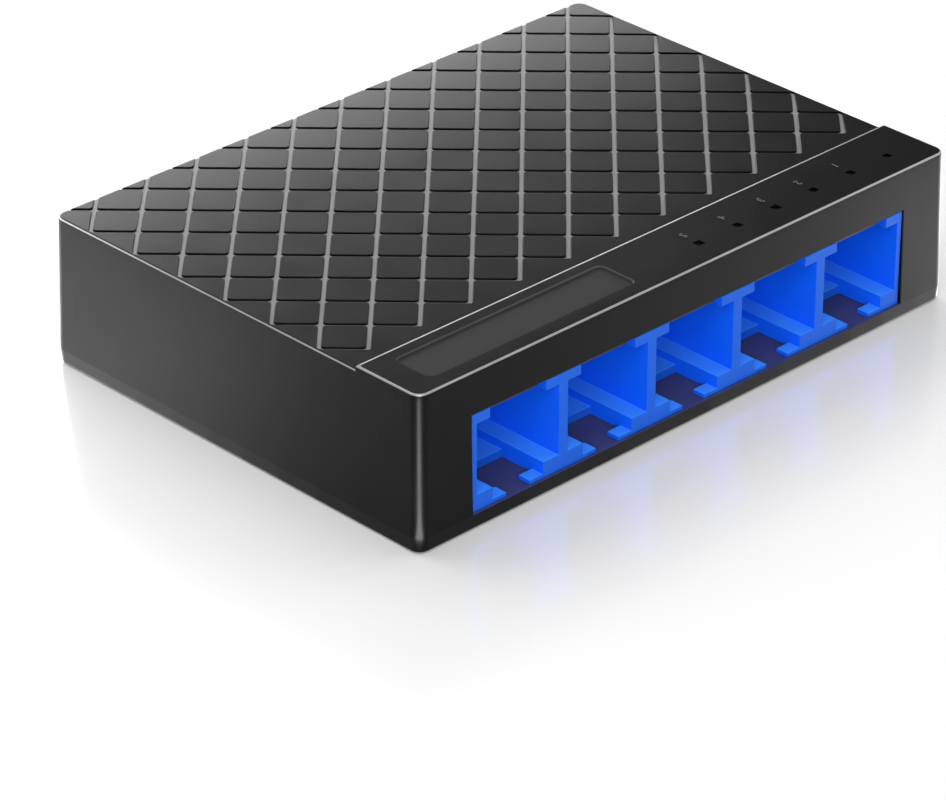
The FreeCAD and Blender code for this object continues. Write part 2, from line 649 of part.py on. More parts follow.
def power_centre_pin():
    """The round pin, on a square root with a flat tail that goes up through the board."""
    start = SOCKET_BACK_X + 0.4
    pin = Part.makeCylinder(SOCKET_PIN_RADIUS, SOCKET_PIN_END_X - SOCKET_BORE_START_X,
                            Vector(SOCKET_BORE_START_X, SOCKET_Y, SOCKET_Z), ALONG_X)
    pin = pin.makeFillet(0.3, [max(pin.Edges, key=lambda edge: edge.CenterOfMass.x)])
    root = socket_pin_root(start, SOCKET_PIN_ROOT)
    tail = box((start, start + 0.4), (SOCKET_Y - 0.9, SOCKET_Y + 0.9), (SOCKET_Z - 0.9, PIN_END_Z))
    return pin.fuse([root, tail]).removeSplitter()


def power_sleeve_terminal():
    """A strap from the root of the sleeve's leaf spring, up behind the housing, through the board."""
    width = (SOCKET_Y - LEAF_HALF_WIDTH, SOCKET_Y + LEAF_HALF_WIDTH)
    half = LEAF_THICK / 2
    foot = box((STRAP_X, LEAF_X[0] - half - 0.05), width, (LEAF_Z - half, LEAF_Z + half))
    post = box((STRAP_X, STRAP_X + LEAF_THICK), width, (LEAF_Z - half, PIN_END_Z))
    return foot.fuse(post).removeSplitter()


def power_sleeve_spring():
    """The leaf that presses on a plug's sleeve from below. It flexes about its root."""
    half = LEAF_THICK / 2
    crest = (LEAF_X[1] - 1.2, LEAF_CREST_Z - half)
    y = SOCKET_Y - LEAF_HALF_WIDTH
    width = 2 * LEAF_HALF_WIDTH
    outline = [(LEAF_X[0], LEAF_Z - half), (crest[0], crest[1] - half), (LEAF_X[1], crest[1] - 0.6),
               (LEAF_X[1], crest[1] - 0.35), (crest[0], crest[1] + half), (LEAF_X[0], LEAF_Z + half)]
    corners = [Vector(x, y, z) for x, z in outline]
    leaf = Part.Face(Part.makePolygon(corners + corners[:1])).extrude(Vector(0, width, 0))
    root = Part.makeCylinder(half, width, Vector(LEAF_X[0], y, LEAF_Z), Vector(0, 1, 0))
    return leaf.fuse(root).removeSplitter()


# --- fasteners, feet and label ------------------------------------------------------------------
def screw(at, seat_z, radius, length, head_radius, head_height):
    """A pan-head cross-recess screw that points up, with its head below seat_z."""
    x, y = at
    tip = 0.8
    head = Part.makeCylinder(head_radius, head_height, Vector(x, y, seat_z - head_height))
    head = head.makeFillet(0.45, edges_at(head, seat_z - head_height))
    shank = Part.makeCylinder(radius, length - tip, Vector(x, y, seat_z))
    point = Part.makeCone(radius, 0.4 * radius, tip, Vector(x, y, seat_z + length - tip))
    cross_z = (seat_z - head_height - 0.1, seat_z - head_height + 0.8)
    cross = [centred_box(at, 1.2 * head_radius, 0.45, cross_z),
             centred_box(at, 0.45, 1.2 * head_radius, cross_z)]
    return cut_all(head.fuse([shank, point]), cross).removeSplitter()


def case_screws():
    return Part.makeCompound([
        screw(at, CASE_SEAT_Z, CASE_SCREW_RADIUS, CASE_SCREW_LENGTH, CASE_HEAD_RADIUS, CASE_HEAD_HEIGHT)
        for at in CASE_SCREW_AT])


def board_screws():
    return Part.makeCompound([
        screw(at, BOARD_Z, BOARD_SCREW_RADIUS, BOARD_SCREW_LENGTH, BOARD_HEAD_RADIUS, BOARD_HEAD_HEIGHT)
        for at in BOARD_SCREW_AT])


def rubber_foot(index):
    x, y = FOOT_AT[index]
    foot = Part.makeCylinder(FOOT_RADIUS, FOOT_THICK - 0.01, Vector(x, y, 0))
    return foot.makeFillet(0.2, edges_at(foot, 0))


def blank_label():
    half, low, high = LABEL_HALF_X - 0.5, LABEL_Y[0] + 0.4, LABEL_Y[1] - 0.4
    return rounded_box((-half, half), (low, high), (FOOT_PROUD + 0.04, FOOT_PROUD + 0.14), 0.8)


# --- all the nodes ------------------------------------------------------------------------------
def all_nodes():
    nodes = {
        "top_cover": top_cover(),
        "bottom_cover": bottom_cover(),
        "port_housing": port_housing(),
        "circuit_board": circuit_board(),
        "switch_chip": switch_chip(),
        "switch_chip_leads": chip_leads(),
        "transformer_leads": transformer_leads(),
        "crystal": crystal(),
        "input_capacitor": electrolytic_capacitor(INPUT_CAPACITOR_AT),
        "output_capacitor": electrolytic_capacitor(OUTPUT_CAPACITOR_AT),
        "power_inductor": power_inductor(),
        "voltage_regulator": regulator(),
        "input_diode": input_diode(),
        "chip_resistors": chip_resistors(),
        "chip_capacitors": chip_capacitors(),
        "light_guide": light_guide(),
        "power_socket_housing": power_socket_housing(),
        "power_centre_pin": power_centre_pin(),
        "power_sleeve_terminal": power_sleeve_terminal(),
        "power_sleeve_spring": power_sleeve_spring(),
        "case_screws": case_screws(),
        "board_screws": board_screws(),
        "blank_label": blank_label(),
    }
    for port in range(PORT_COUNT):
        nodes[f"contact_carrier_{port + 1}"] = contact_carrier(port)
        nodes[f"contact_tails_{port + 1}"] = contact_group(contact_tail, port)
        nodes[f"contact_springs_{port + 1}"] = contact_group(contact_arm, port)
        nodes[f"port_transformer_{port + 1}"] = port_transformer(port)
    for index in range(INDICATOR_COUNT - 1):
        nodes[f"port_led_{index + 1}"] = indicator_led(index)
    nodes["power_led"] = indicator_led(INDICATOR_COUNT - 1)
    for index in range(len(FOOT_AT)):
        nodes[f"rubber_foot_{index + 1}"] = rubber_foot(index)
    return nodes


os.makedirs("parts", exist_ok=True)
for name, shape in all_nodes().items():
    shape.exportStep(f"parts/{name}.step")
    print(f"{name}: {len(shape.Solids)} solids, {shape.Volume:.1f} mm3, valid {shape.isValid()}")
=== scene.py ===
import math

import bmesh
import bpy
from mathutils import Matrix, Vector


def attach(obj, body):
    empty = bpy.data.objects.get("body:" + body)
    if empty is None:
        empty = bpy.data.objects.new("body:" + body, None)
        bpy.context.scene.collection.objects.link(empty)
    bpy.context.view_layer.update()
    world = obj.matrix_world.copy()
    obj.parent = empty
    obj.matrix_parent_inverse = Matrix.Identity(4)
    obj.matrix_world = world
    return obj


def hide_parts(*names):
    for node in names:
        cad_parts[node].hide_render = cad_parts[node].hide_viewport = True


# The looks of a five-port desktop network switch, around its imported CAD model. Shapes are made in
# millimetres, as in the CAD model, and scaled to metres when a piece is finished.
MM = 0.001
BODY = "switch"

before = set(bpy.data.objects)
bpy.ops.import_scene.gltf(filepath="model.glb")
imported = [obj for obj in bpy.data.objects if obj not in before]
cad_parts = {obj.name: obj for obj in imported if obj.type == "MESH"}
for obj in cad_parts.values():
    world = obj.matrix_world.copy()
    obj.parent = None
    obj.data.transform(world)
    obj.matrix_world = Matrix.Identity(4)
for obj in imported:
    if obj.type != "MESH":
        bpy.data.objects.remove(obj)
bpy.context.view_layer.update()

# --- sizes that the top cover shares with the CAD model, in mm -----------------------------------
HALF_X, HALF_Y = 42.65, 30.3        # outline at the top of the walls
LEAN = 0.38                         # each wall stands this much further out at its foot
CORNER, EDGE = 1.4, 0.3             # radii of the upright corners and of the top edges
CORNER_STEPS, EDGE_STEPS = 10, 5    # faces around each of them
PARTING_Z, STRIP_Z, PATTERN_Z, CEILING_Z = 2.0, 19.6, 19.03, 17.4
STRIP_DEPTH, WALL = 9.84, 1.6
FRONT = -HALF_Y
STEP_Y = FRONT + STRIP_DEPTH
CELL, GROOVE_WIDTH, GROOVE_DEPTH = 3.84, 0.5, 0.26
COLUMNS, ROWS = 22, 13
FIRST_Y = STEP_Y + 2.55             # the first row of groove crossings
LEFT_X = -CELL * COLUMNS / 2        # and the first column
GROOVE_OVERRUN = 0.09               # how far a groove goes past the pattern's ends in x
TILE_CORNER = 0.45                  # radius of a tile's corners in plan
TILE_BREAK = 0.06                   # chamfer along a tile's edges
STRIP_RIM = 0.1                     # width of the rim along the strip's rear edge that gets the painted highlight
INDICATOR_X = [4.62 + 6.4 * i for i in range(6)]
INDICATOR_Y, INDICATOR_HOLE = FRONT + 3.9, 1.0
DIGITS = "54321"                    # beside the first five indicators
DIGIT_SIZE, DIGIT_THICKNESS, DIGIT_LIFT, DIGIT_OFFSET = 1.5, 0.08, 0.01, 2.5
PLATE = (-38.7, -7.2, FRONT + 2.3, FRONT + 7.9)
PLATE_SINK, PLATE_CORNER = 0.15, 0.8
PORT_X, PORT_WIDTH, PORT_TOP, PORT_GAP = 0.235, 69.85, 14.15, 0.15
PORT_CUT_Z, PORT_CUT_DEPTH = 0.5, 2.0
SOCKET_Y, SOCKET_Z, SOCKET_NOSE, SOCKET_CUT_DEPTH = 2.5, 10.8, 3.15, 3.0
MOUTH = 0.1                         # how far the mouths of openings are flared, for broken edges
POST_OVERLAP = 0.5                  # how far the screw posts go up into the roof
# posts for the case screws and the board screws: places, radius, foot, bore's radius and its end
CASE_POSTS = (((-38.0, 26.0), (38.0, 26.0)), 2.7, 4.05, 1.2, 11.3)
BOARD_POSTS = (((-37.6, -11.0), (37.6, -11.0), (-37.6, 16.0), (37.6, 16.0)), 2.3, 15.77, 1.05,
               18.37)
HOOK_X, HOOK_HALF_WIDTH = (-38.4, 38.4), 2.3    # pockets for the bottom cover's hooks
HOOK_POCKET_Y, HOOK_POCKET_Z = (FRONT + WALL - 0.8, FRONT + WALL + 0.1), (4.7, 7.0)


# --- materials -----------------------------------------------------------------------------------
def material(name):
    """A new node material: (material, its nodes, its links, its Principled shader)."""
    made = bpy.data.materials.new(name)
    made.use_nodes = True
    nodes, links = made.node_tree.nodes, made.node_tree.links
    return made, nodes, links, nodes["Principled BSDF"]


def noise(nodes, links, scale, detail):
    """Noise in the piece's own space. Scale is in features per millimetre."""
    place = nodes.new("ShaderNodeTexCoord")
    mapping = nodes.new("ShaderNodeMapping")
    mapping.inputs["Scale"].default_value = [1 / MM] * 3
    texture = nodes.new("ShaderNodeTexNoise")
    texture.inputs["Scale"].default_value = scale
    texture.inputs["Detail"].default_value = detail
    links.new(place.outputs["Object"], mapping.inputs["Vector"])
    links.new(mapping.outputs["Vector"], texture.inputs["Vector"])
    return texture.outputs["Fac"]


def mapped(nodes, links, value, low, high, start=0.3, end=0.7):
    """The range that noise mostly keeps to, brought to a range from low to high."""
    change = nodes.new("ShaderNodeMapRange")
    change.inputs["From Min"].default_value = start
    change.inputs["From Max"].default_value = end
    change.inputs["To Min"].default_value = low
    change.inputs["To Max"].default_value = high
    links.new(value, change.inputs["Value"])
    return change.outputs["Result"]


def blended(nodes, links, value, first, second):
    """A mix of two colours."""
    mix = nodes.new("ShaderNodeMix")
    mix.data_type = "RGBA"
    mix.inputs["A"].default_value = (*first, 1)
    mix.inputs["B"].default_value = (*second, 1)
    links.new(value, mix.inputs["Factor"])
    return mix.outputs["Result"]


def bumped(nodes, links, shader, value, height, distance=0.02):
    """Gives a shader a fine relief. Distance is in millimetres."""
    bump = nodes.new("ShaderNodeBump")
    bump.inputs["Strength"].default_value = height
    bump.inputs["Distance"].default_value = distance * MM
    links.new(value, bump.inputs["Height"])
    links.new(bump.outputs["Normal"], shader.inputs["Normal"])


def surface(name, colours, roughness, specular=0.5, metallic=0.0, grain=8.0, grain_height=0.2,
            **sockets):
    """A material whose colour and roughness vary a little in patches, with a fine moulded grain."""
    made, nodes, links, shader = material(name)
    patches = noise(nodes, links, 0.25, 3)
    fine = noise(nodes, links, grain, 2)
    links.new(blended(nodes, links, mapped(nodes, links, patches, 0, 1), *colours),
              shader.inputs["Base Color"])
    links.new(mapped(nodes, links, patches, *roughness), shader.inputs["Roughness"])
    shader.inputs["Specular IOR Level"].default_value = specular
    shader.inputs["Metallic"].default_value = metallic
    for socket, value in sockets.items():
        shader.inputs[socket.replace("_", " ")].default_value = value
    bumped(nodes, links, shader, fine, grain_height)
    return made


def grey(value):
    """A grey that is very slightly cool."""
    return (value, value, value * 1.03)


MATERIALS = {
    "case_black": surface("case_black", (grey(0.0010), grey(0.0018)), (0.3, 0.36), specular=0.105,
                          grain=9.0, grain_height=0.1),
    # Light grey along the top edges is a painted highlight. Their stronger shine (specular, IOR)
    # comes from the shader.
    "edge_painted_highlight": surface("edge_painted_highlight", (grey(0.17), grey(0.20)), (0.28, 0.34), specular=1.0,
                         grain=9.0, grain_height=0.05, IOR=1.8),
    # A lighter, bluish tone on the bottom cover's inside floor is painted blue bounce light from
    # the ports.
    "case_inside_painted_bounce": surface("case_inside_painted_bounce", ((0.036, 0.040, 0.115), (0.044, 0.048, 0.135)),
                           (0.4, 0.5), grain=6.0),
    "name_plate": surface("name_plate", (grey(0.006), grey(0.008)), (0.42, 0.5), specular=0.2,
                          grain=12.0, grain_height=0.15),
    # The recess's rear and right sides use a paler grey, which is painted light on the sides that
    # face the light.
    "plate_side_painted_light": surface("plate_side_painted_light", (grey(0.035), grey(0.045)), (0.42, 0.5), specular=0.2,
                          grain=12.0, grain_height=0.15),
    # Lighter grey on the groove floors is a painted sheen. It stands in for the bright reflection
    # they catch.
    "groove_floor_painted_sheen": surface("groove_floor_painted_sheen", (grey(0.16), grey(0.19)), (0.42, 0.5), specular=0.15,
                            grain=9.0, grain_height=0.05),
    "port_blue": surface("port_blue", ((0.003, 0.108, 0.88), (0.005, 0.116, 0.91)), (0.32, 0.4),
                         specular=0.2, grain=7.0, grain_height=0.12),
    # The ports' front faces use a darker copy of the port blue, which is painted shade. Their
    # rougher texture comes from the shader.
    "port_front_painted_shade": surface("port_front_painted_shade", ((0.006, 0.088, 0.53), (0.008, 0.096, 0.57)), (0.45, 0.52),
                         specular=0.12, grain=9.0, grain_height=0.3),
    # The ports' upward faces use a lighter copy of the port blue, which is painted light.
    "port_ledge_painted_light": surface("port_ledge_painted_light", ((0.036, 0.250, 0.99), (0.042, 0.265, 0.99)), (0.4, 0.48),
                          specular=0.2, grain=9.0, grain_height=0.2),
    "digit_grey": surface("digit_grey", (grey(0.07), grey(0.09)), (0.4, 0.5), specular=0.3),
    "contact_gold": surface("contact_gold", ((0.86, 0.60, 0.22), (0.95, 0.68, 0.28)), (0.18, 0.3),
                            metallic=1.0, grain=20.0, grain_height=0.1),
    "tinned": surface("tinned", (grey(0.62), grey(0.74)), (0.25, 0.4), metallic=1.0, grain=16.0),
    "board_green": surface("board_green", ((0.010, 0.11, 0.045), (0.014, 0.14, 0.055)), (0.28, 0.4),
                           grain=3.0, grain_height=0.3),
    "chip_black": surface("chip_black", (grey(0.020), grey(0.028)), (0.5, 0.62), specular=0.4,
                          grain=14.0, grain_height=0.4),
    "can_aluminium": surface("can_aluminium", (grey(0.66), grey(0.76)), (0.22, 0.34), metallic=1.0,
                             grain=12.0),
    "crystal_can": surface("crystal_can", (grey(0.68), grey(0.76)), (0.14, 0.24), metallic=1.0),
    "ferrite": surface("ferrite", (grey(0.075), grey(0.11)), (0.6, 0.75), grain=12.0,
                       grain_height=0.6),
    "chip_ceramic": surface("chip_ceramic", ((0.42, 0.31, 0.20), (0.5, 0.38, 0.25)), (0.4, 0.55)),
    "led_body": surface("led_body", ((0.72, 0.71, 0.62), (0.8, 0.79, 0.7)), (0.25, 0.35)),
    "light_guide_smoke": surface("light_guide_smoke", (grey(0.02), grey(0.03)), (0.12, 0.2),
                                 Transmission_Weight=0.6, IOR=1.49),
    "screw_steel": surface("screw_steel", (grey(0.20), grey(0.27)), (0.3, 0.42), metallic=1.0,
                           grain=10.0),
    "foot_rubber": surface("foot_rubber", (grey(0.022), grey(0.03)), (0.72, 0.85), specular=0.3,
                           grain=6.0, grain_height=0.5),
    "label_grey": surface("label_grey", (grey(0.42), grey(0.46)), (0.45, 0.55), grain=5.0,
                          grain_height=0.15),
}

COVER_SLOTS = ("case_black", "groove_floor_painted_sheen", "edge_painted_highlight", "name_plate", "plate_side_painted_light")
COVER_MATERIALS = [MATERIALS[name] for name in COVER_SLOTS]
GROOVE, EDGE_LINE, PLATE_FLOOR, PLATE_LIT_SIDE = 1, 2, 3, 4     # places in that list
ROOF_LINE, STRIP_LINE = (1, 2), (1, 2, 3)       # which of a rounded edge's steps get the painted highlight


# --- mesh helpers --------------------------------------------------------------------------------
def link(name, data):
    """A new object in the scene."""
    made = bpy.data.objects.new(name, data)
    bpy.context.scene.collection.objects.link(made)
    return made


def from_bmesh(name, bm, *materials):
    """A new object from a finished bmesh, which it uses up."""
    bmesh.ops.remove_doubles(bm, verts=bm.verts, dist=1e-4)
    bmesh.ops.recalc_face_normals(bm, faces=bm.faces)
    mesh = bpy.data.meshes.new(name)
    bm.to_mesh(mesh)
    bm.free()
    for one in materials:
        mesh.materials.append(one)
    return link(name, mesh)


def bridge(bm, lower, upper, closed=True):
    """Faces between two lines of as many vertices each."""
    count = len(lower)
    faces = []
    for i in range(count if closed else count - 1):
        j = (i + 1) % count
        faces.append(bm.faces.new((lower[i], lower[j], upper[j], upper[i])))
    return faces


def ring(bm, points, z):
    return [bm.verts.new((x, y, z)) for x, y in points]


def loft(bm, levels):
    """A closed solid through loops of points, given as (points, z) from the bottom up.

    Gives its floor, its top and its side faces.
    """
    rings = [ring(bm, points, z) for points, z in levels]
    sides = []
    for lower, upper in zip(rings, rings[1:]):
        sides += bridge(bm, lower, upper)
    return bm.faces.new(rings[0]), bm.faces.new(rings[-1]), sides


def arc(cx, cy, radius, start, end, steps):
    """Points along an arc between two angles in degrees."""
    angles = [math.radians(start + (end - start) * i / steps) for i in range(steps + 1)]
    return [(cx + radius * math.cos(a), cy + radius * math.sin(a)) for a in angles]


def rounded(x0, x1, y0, y1, radius, steps=6):
    return (arc(x0 + radius, y0 + radius, radius, 180, 270, steps)
            + arc(x1 - radius, y0 + radius, radius, 270, 360, steps)
            + arc(x1 - radius, y1 - radius, radius, 0, 90, steps)
            + arc(x0 + radius, y1 - radius, radius, 90, 180, steps))


def rectangle(x0, x1, y0, y1):
    return [(x0, y0), (x1, y0), (x1, y1), (x0, y1)]


def circle(cx, cy, radius, steps=32):
    return arc(cx, cy, radius, 0, 360, steps)[:-1]


def carve(target, cutter, operation="DIFFERENCE"):
    """Applies one exact boolean to the target and removes the cutter."""
    change = target.modifiers.new("carve", "BOOLEAN")
    change.object = cutter
    change.operation = operation
    change.solver = "EXACT"
    dg = bpy.context.evaluated_depsgraph_get()
    result = bpy.data.meshes.new_from_object(target.evaluated_get(dg))
    target.modifiers.clear()
    target.data = result
    bpy.data.objects.remove(cutter)


def smooth(obj, angle=32):
    """Smooth shading that keeps the edges sharper than an angle in degrees."""
    obj.data.shade_smooth()
    obj.data.set_sharp_from_angle(angle=math.radians(angle))
    weighted = obj.modifiers.new("normals", "WEIGHTED_NORMAL")
    weighted.keep_sharp = True
    weighted.weight = 80


def finish_piece(obj, slot, *nodes):
    """Scales a piece made in mm, and lets it ride on the case in place of CAD nodes."""
    obj.data.transform(Matrix.Scale(MM, 4))
    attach(obj, BODY)
    if nodes:
        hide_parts(*nodes)


# --- top cover -----------------------------------------------------------------------------------
def lean_at(z):
    """How far a wall stands out at a height."""
    return LEAN * (STRIP_Z - z) / (STRIP_Z - PARTING_Z)


def half_outlines(z, inset, step_y):
    """The cover's outline at height z: (round the front, round the rear), both ending at step_y."""
    x, y = HALF_X + lean_at(z) - inset, HALF_Y + lean_at(z) - inset
    radius = CORNER - inset
    front = ([(-x, step_y)] + arc(-x + radius, -y + radius, radius, 180, 270, CORNER_STEPS)
             + arc(x - radius, -y + radius, radius, 270, 360, CORNER_STEPS) + [(x, step_y)])
    rear = ([(x, step_y)] + arc(x - radius, y - radius, radius, 0, 90, CORNER_STEPS)
            + arc(-x + radius, y - radius, radius, 90, 180, CORNER_STEPS) + [(-x, step_y)])
    return front, rear


def edge_steps(top_z):
    """(inset, height) of each line along a rounded top edge, after the first."""
    turns = [math.radians(90 * (i + 1) / EDGE_STEPS) for i in range(EDGE_STEPS)]
    return [(EDGE * (1 - math.cos(t)), top_z - EDGE + EDGE * math.sin(t)) for t in turns]


def cover_shell():
    """The outside of the top cover as one closed solid: the roof and the raised strip."""
    bm = bmesh.new()
    roof_low, strip_low = PATTERN_Z - EDGE, STRIP_Z - EDGE
    bright = []

    def both(z):
        front, rear = half_outlines(z, 0.0, STEP_Y)
        return ring(bm, front, z), ring(bm, rear, z)

    foot_front, foot_rear = both(PARTING_Z)
    low_front, low_rear = both(roof_low)
    bridge(bm, foot_front, low_front, closed=False)
    bridge(bm, foot_rear, low_rear, closed=False)
    bm.faces.new(foot_front[:-1] + foot_rear[:-1])
    roof = [low_rear]
    for inset, z in edge_steps(PATTERN_Z):
        _, rear = half_outlines(z, inset, STEP_Y)
        roof.append(ring(bm, rear, z))
    for step, (lower, upper) in enumerate(zip(roof, roof[1:])):
        faces = bridge(bm, lower, upper, closed=False)
        if step in ROOF_LINE:
            bright += faces
    bm.faces.new(roof[-1])
    front, _ = half_outlines(strip_low, 0.0, STEP_Y)
    strip = [ring(bm, front, strip_low)]
    bridge(bm, low_front, strip[0], closed=False)
    for inset, z in edge_steps(STRIP_Z):
        front, _ = half_outlines(z, inset, STEP_Y - inset)
        strip.append(ring(bm, front, z))
    for step, (lower, upper) in enumerate(zip(strip, strip[1:])):
        faces = bridge(bm, lower, upper)
        bright += faces if step in STRIP_LINE else faces[-1:]
    top = strip[-1]
    rim = [bm.verts.new(end.co - Vector((0, STRIP_RIM, 0))) for end in (top[0], top[-1])]
    bright.append(bm.faces.new((top[0], rim[0], rim[1], top[-1])))
    bm.faces.new([rim[0]] + top[1:-1] + [rim[1]])
    bm.faces.new([strip[0][0], strip[0][-1], low_front[-1]] + [line[0] for line in roof[1:]]
                 + [line[-1] for line in reversed(roof[1:])] + [low_front[0]])
    # These edge faces get the light grey, a painted highlight along the edges.
    for face in bright:
        face.material_index = EDGE_LINE
    return from_bmesh("top_cover_finished", bm, *COVER_MATERIALS)


def crossing(column, row, width, corner):
    """The grooves' outline at one crossing: [(x, y, does a groove go on across the next side)]."""
    cx, cy = LEFT_X + CELL * column, FIRST_Y + CELL * row
    reach = CELL / math.sqrt(2)
    arms = []
    for turn, (dx, dy) in zip((45, 135, 225, 315), ((1, 1), (-1, 1), (-1, -1), (1, -1))):
        if 0 <= column + dx <= COLUMNS and 0 <= row + dy <= ROWS:
            arms.append(turn)
    points = []
    for index, turn in enumerate(arms):
        a = math.radians(turn)
        for side in (-1, 1):
            x = cx + reach * math.cos(a) - side * width * math.sin(a)
            y = cy + reach * math.sin(a) + side * width * math.cos(a)
            points.append((x, y, side == -1))
        following = arms[(index + 1) % len(arms)] + (360 if index == len(arms) - 1 else 0)
        if following - turn == 90:
            middle = math.radians(turn + 45)
            far = (width + corner) * math.sqrt(2)
            bend = arc(cx + far * math.cos(middle), cy + far * math.sin(middle), corner,
                       turn + 270, turn + 180, 6)
        else:
            bend = arc(cx, cy, width, turn + 90, following - 90, 6)
        points += [(x, y, False) for x, y in bend]
    limit = -LEFT_X + GROOVE_OVERRUN
    return (cx, cy), [(max(-limit, min(limit, x)), y, open_side) for x, y, open_side in points]


def groove_cutter():
    """The diamond pattern's grooves, from their floors up to the tiles' chamfers."""
    bm = bmesh.new()
    floor_z = PATTERN_Z - GROOVE_DEPTH
    levels = ((floor_z, 0.0), (PATTERN_Z - TILE_BREAK, 0.0),
              (PATTERN_Z + TILE_BREAK, 2 * TILE_BREAK))
    for row in range(ROWS + 1):
        for column in range(COLUMNS + 1):
            if (row + column) % 2 == 0:
                continue
            rings = []
            for z, wider in levels:
                centre, points = crossing(column, row, GROOVE_WIDTH / 2 + wider,
                                          TILE_CORNER - wider)
                rings.append([bm.verts.new((x, y, z)) for x, y, _ in points])
                if z == levels[1][0]:
                    continue
                middle = bm.verts.new((*centre, z))
                for i in range(len(points)):
                    face = bm.faces.new((middle, rings[-1][i], rings[-1][(i + 1) % len(points)]))
                    # The groove floors take the lighter grey of the painted sheen.
                    face.material_index = GROOVE if z == floor_z else 0
            for lower, upper in zip(rings, rings[1:]):
                for i in range(len(points)):
                    if not points[i][2]:
                        j = (i + 1) % len(points)
                        bm.faces.new((lower[i], lower[j], upper[j], upper[i]))
    return from_bmesh("grooves", bm, *COVER_MATERIALS)


def cavity_cutter():
    """The hollow between the cover's walls, under its roof."""
    bm = bmesh.new()
    hollow = rectangle(-HALF_X + WALL, HALF_X - WALL, FRONT + WALL, HALF_Y - WALL)
    loft(bm, [(hollow, 0.0), (hollow, CEILING_Z)])
    return from_bmesh("openings", bm, *COVER_MATERIALS)


def plate_cutter(bm):
    """The name plate's recess. Its rear and right sides, which face the light, get a paler grey as
    painted light.
    """
    x0, x1, y0, y1 = PLATE
    flare = PLATE_SINK + MOUTH
    floor, _, sides = loft(bm, [(rounded(x0, x1, y0, y1, PLATE_CORNER), STRIP_Z - PLATE_SINK),
                                (rounded(x0 - flare, x1 + flare, y0 - flare, y1 + flare,
                                         PLATE_CORNER + flare), STRIP_Z + MOUTH)])
    floor.material_index = PLATE_FLOOR
    for face in sides:
        middle = face.calc_center_median()
        pale = middle.y > y1 - PLATE_CORNER / 2 or middle.x > x1 - PLATE_CORNER / 2
        face.material_index = PLATE_LIT_SIDE if pale else PLATE_FLOOR


def socket_cutter(bm):
    """The power socket's hole, made standing and then laid along X."""
    hole = bmesh.new()
    wall_x = HALF_X + lean_at(SOCKET_Z)
    loft(hole, [(circle(0, 0, SOCKET_NOSE), HALF_X - SOCKET_CUT_DEPTH),
                (circle(0, 0, SOCKET_NOSE), wall_x - MOUTH),
                (circle(0, 0, SOCKET_NOSE + 2 * MOUTH), wall_x + MOUTH)])
    turn = Matrix.Translation((0, SOCKET_Y, SOCKET_Z)) @ Matrix.Rotation(math.pi / 2, 4, "Y")
    bmesh.ops.transform(hole, matrix=turn, verts=hole.verts)
    spare = bpy.data.meshes.new("spare")
    hole.to_mesh(spare)
    hole.free()
    bm.from_mesh(spare)
    bpy.data.meshes.remove(spare)


def port_cutter(bm):
    """The ports' opening, which follows the front wall's lean."""
    x0, x1 = PORT_X - PORT_WIDTH / 2 - PORT_GAP, PORT_X + PORT_WIDTH / 2 + PORT_GAP
    top = PORT_TOP + PORT_GAP
    rings = []
    for out, grow in ((-PORT_CUT_DEPTH, 0.0), (-MOUTH, 0.0), (MOUTH, 2 * MOUTH)):
        corners = []
        for x, z in ((x0 - grow, PORT_CUT_Z), (x1 + grow, PORT_CUT_Z),
                     (x1 + grow, top + grow), (x0 - grow, top + grow)):
            corners.append(bm.verts.new((x, FRONT - lean_at(z) - out, z)))
        rings.append(corners)
    for one, other in zip(rings, rings[1:]):
        bridge(bm, one, other)
    bm.faces.new(rings[0])
    bm.faces.new(rings[-1])


def small_cutters():
    """Everything else that is cut out of the cover but the grooves, with flared mouths."""
    bm = bmesh.new()
    hole, wide = INDICATOR_HOLE / 2, INDICATOR_HOLE / 2 + MOUTH
    y = INDICATOR_Y
    for x in INDICATOR_X:
        loft(bm, [(rectangle(x - hole, x + hole, y - hole, y + hole), CEILING_Z - 1),
                  (rectangle(x - hole, x + hole, y - hole, y + hole), STRIP_Z - MOUTH / 2),
                  (rectangle(x - wide, x + wide, y - wide, y + wide), STRIP_Z + MOUTH / 2)])
    plate_cutter(bm)
    for places, _, _, bore, end in (CASE_POSTS, BOARD_POSTS):
        for x, y in places:
            loft(bm, [(circle(x, y, bore), 0), (circle(x, y, bore), end)])
    for x in HOOK_X:
        pocket = rectangle(x - HOOK_HALF_WIDTH, x + HOOK_HALF_WIDTH, *HOOK_POCKET_Y)
        loft(bm, [(pocket, z) for z in HOOK_POCKET_Z])
    socket_cutter(bm)
    port_cutter(bm)
    return from_bmesh("small", bm, *COVER_MATERIALS)


def cover_posts():
    """The posts that the case screws and the board screws go into."""
    bm = bmesh.new()
    for places, radius, foot, _, _ in (CASE_POSTS, BOARD_POSTS):
        for x, y in places:
            loft(bm, [(circle(x, y, radius), foot),
                      (circle(x, y, radius), CEILING_Z + POST_OVERLAP)])
    return from_bmesh("posts", bm, *COVER_MATERIALS)


def top_cover():
    cover = cover_shell()
    carve(cover, cavity_cutter())
    carve(cover, cover_posts(), "UNION")
    carve(cover, small_cutters())
    carve(cover, groove_cutter())
    smooth(cover)
    finish_piece(cover, "case_black", "top_cover")


